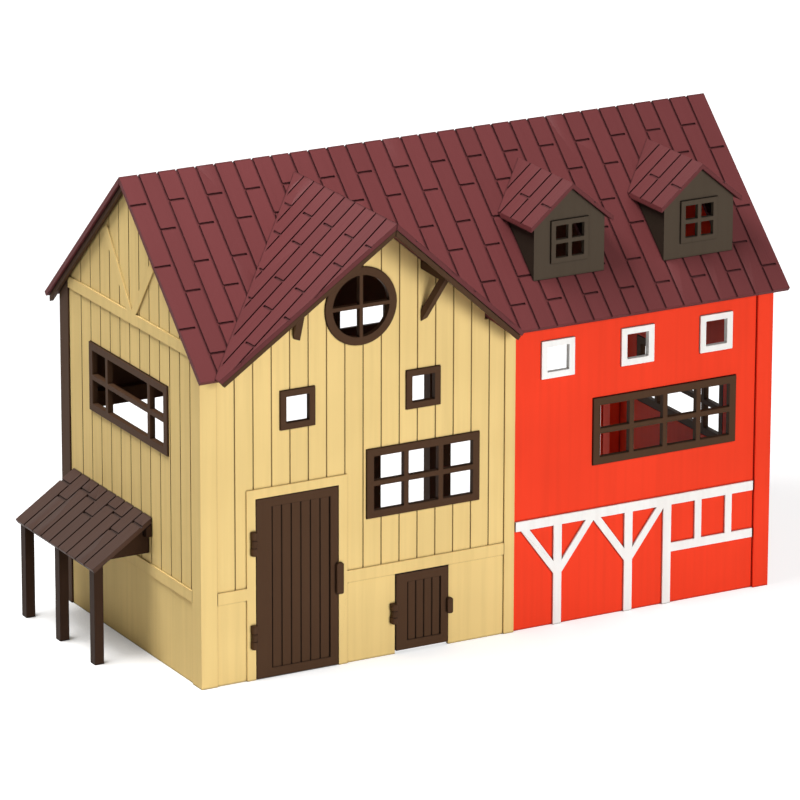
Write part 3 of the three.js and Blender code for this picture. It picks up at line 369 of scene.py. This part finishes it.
def cheek_tone(tree, colour, normal):
    """The colour, but the cheeks' own where the surface faces sideways."""
    sideways = tree.math("ABSOLUTE", tree.split(normal)["X"])
    return tree.mix(tree.ramp(sideways, CHEEK_RANGE), colour, linear(*CHEEK_COLOUR))


def face_tone(tree, colour, base, lift):
    """The colour, but lighter away from the outer edges."""
    face = tree.ramp(tree.openness(EDGE_REACH, inside=True), EDGE_RANGE)
    return tree.mix(tree.math("MULTIPLY", face, lift, clamp=True), colour, tinted(base, FACE_SHARES))


def groove_tone(tree, colour, groove_colour):
    """With painted shade where little is open in front of the surface, as in grooves and corners."""
    shaded = tree.math("SUBTRACT", 1.0, tree.ramp(tree.openness(GROOVE_REACH), GROOVE_RANGE), clamp=True)
    return tree.mix(tree.math("MULTIPLY", shaded, GROOVE_SHADE_STRENGTH), colour, linear(*groove_colour))


def varied_roughness(tree, roughness, streak, cloud):
    by_streak = tree.math("MULTIPLY", streak, ROUGHNESS_BY_STREAK)
    rough = tree.math("ADD", roughness - ROUGHNESS_DROP, by_streak)
    return tree.math("ADD", rough, tree.math("MULTIPLY", cloud, ROUGHNESS_BY_CLOUD))


def relief_normal(tree, depth, streak, coarse, speck):
    streaks = tree.math("MULTIPLY", streak, STREAK_RELIEF)
    relief = tree.math("ADD", streaks, tree.math("MULTIPLY", coarse, COARSE_RELIEF))
    grain = tree.bump(relief, depth * MM, GRAIN_STRENGTH)
    return tree.bump(speck, SPECK_DEPTH, SPECK_STRENGTH, grain)


def plastic(name, finish, rows, mirror, cheeked):
    """Satin moulded plastic. rows are its planks, if it has any, mirror is the X of a ridge with planks
    on both sides, and a cheeked piece has darker sides."""
    material = bpy.data.materials.new(name)
    tree = Tree(material)
    surface = tree.add("ShaderNodeTexCoord", {})
    coords = surface["Object"]
    turn = rows["turn"] if rows else UPRIGHT
    grain = tree.turned(grain_place(tree, coords, mirror), turn, GRAIN_STRETCH)
    streak = tree.noise(grain, finish["streaks"], detail=4.0, roughness=0.6)
    coarse = tree.noise(grain, finish["streaks"] * COARSE_SHARE, detail=2.0, roughness=0.5)
    cloud = tree.noise(coords, CLOUD_SCALE, detail=2.0, roughness=0.5)
    speck = tree.noise(coords, SPECK_SCALE, detail=2.0, roughness=0.6)

    base = linear(*finish["colour"])
    colour = grain_tone(tree, base, coarse, cloud)
    if rows:
        colour = plank_tone(tree, colour, coords, rows, finish["plank_change"])
    if cheeked:
        colour = cheek_tone(tree, colour, surface["Normal"])
    if finish["face_lift"]:
        colour = face_tone(tree, colour, base, finish["face_lift"])
    # Painted shade in grooves, creases and corners, where little is open in front of the surface.
    colour = groove_tone(tree, colour, finish["groove"])

    tree.feed(tree.nodes["Principled BSDF"], {
        "Base Color": colour,
        "Roughness": varied_roughness(tree, finish["roughness"], streak, cloud),
        "Specular IOR Level": finish["gloss"],
        "Normal": relief_normal(tree, finish["depth"], streak, coarse, speck),
    })
    return material


def ridge_of(name):
    """The X of a dormer roof's ridge, or nothing for any other piece."""
    if not name.startswith("dormer_roof"):
        return None
    low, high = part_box(name)
    return (low[0] + high[0]) / 2


def finish_nodes():
    """Planked pieces have a material each, the dormers' bodies share one, and so does each finish."""
    slots = {entry["node"]: entry["material_slot"] for entry in frame["record"]["subparts"]}
    made = {}
    for name, node in NODES.items():
        finish = OWN_FINISH.get(name, slots[name])
        cheeked = name.startswith("dormer_body")
        shared = "dormer_body" if cheeked else finish
        key = name if name in PLANKS else shared
        if key not in made:
            rows = PLANKS.get(name)
            made[key] = plastic(f"{key}_plastic", FINISHES[finish], rows, ridge_of(name), cheeked)
        node.data.materials.clear()
        node.data.materials.append(made[key])


def soften_edges():
    for node in NODES.values():
        weld = node.modifiers.new("weld", "WELD")
        weld.merge_threshold = WELD_DISTANCE
        bevel = node.modifiers.new("bevel", "BEVEL")
        bevel.width = BEVEL_WIDTH
        bevel.segments = BEVEL_SEGMENTS
        bevel.limit_method = "ANGLE"
        bevel.angle_limit = BEVEL_ANGLE


bpy.context.scene.view_settings.view_transform = "Standard"
set_camera()
set_world()
set_stage()
for lamp_name, lamp_values in LAMPS.items():
    add_lamp(lamp_name, **lamp_values)
finish_nodes()
soften_edges()
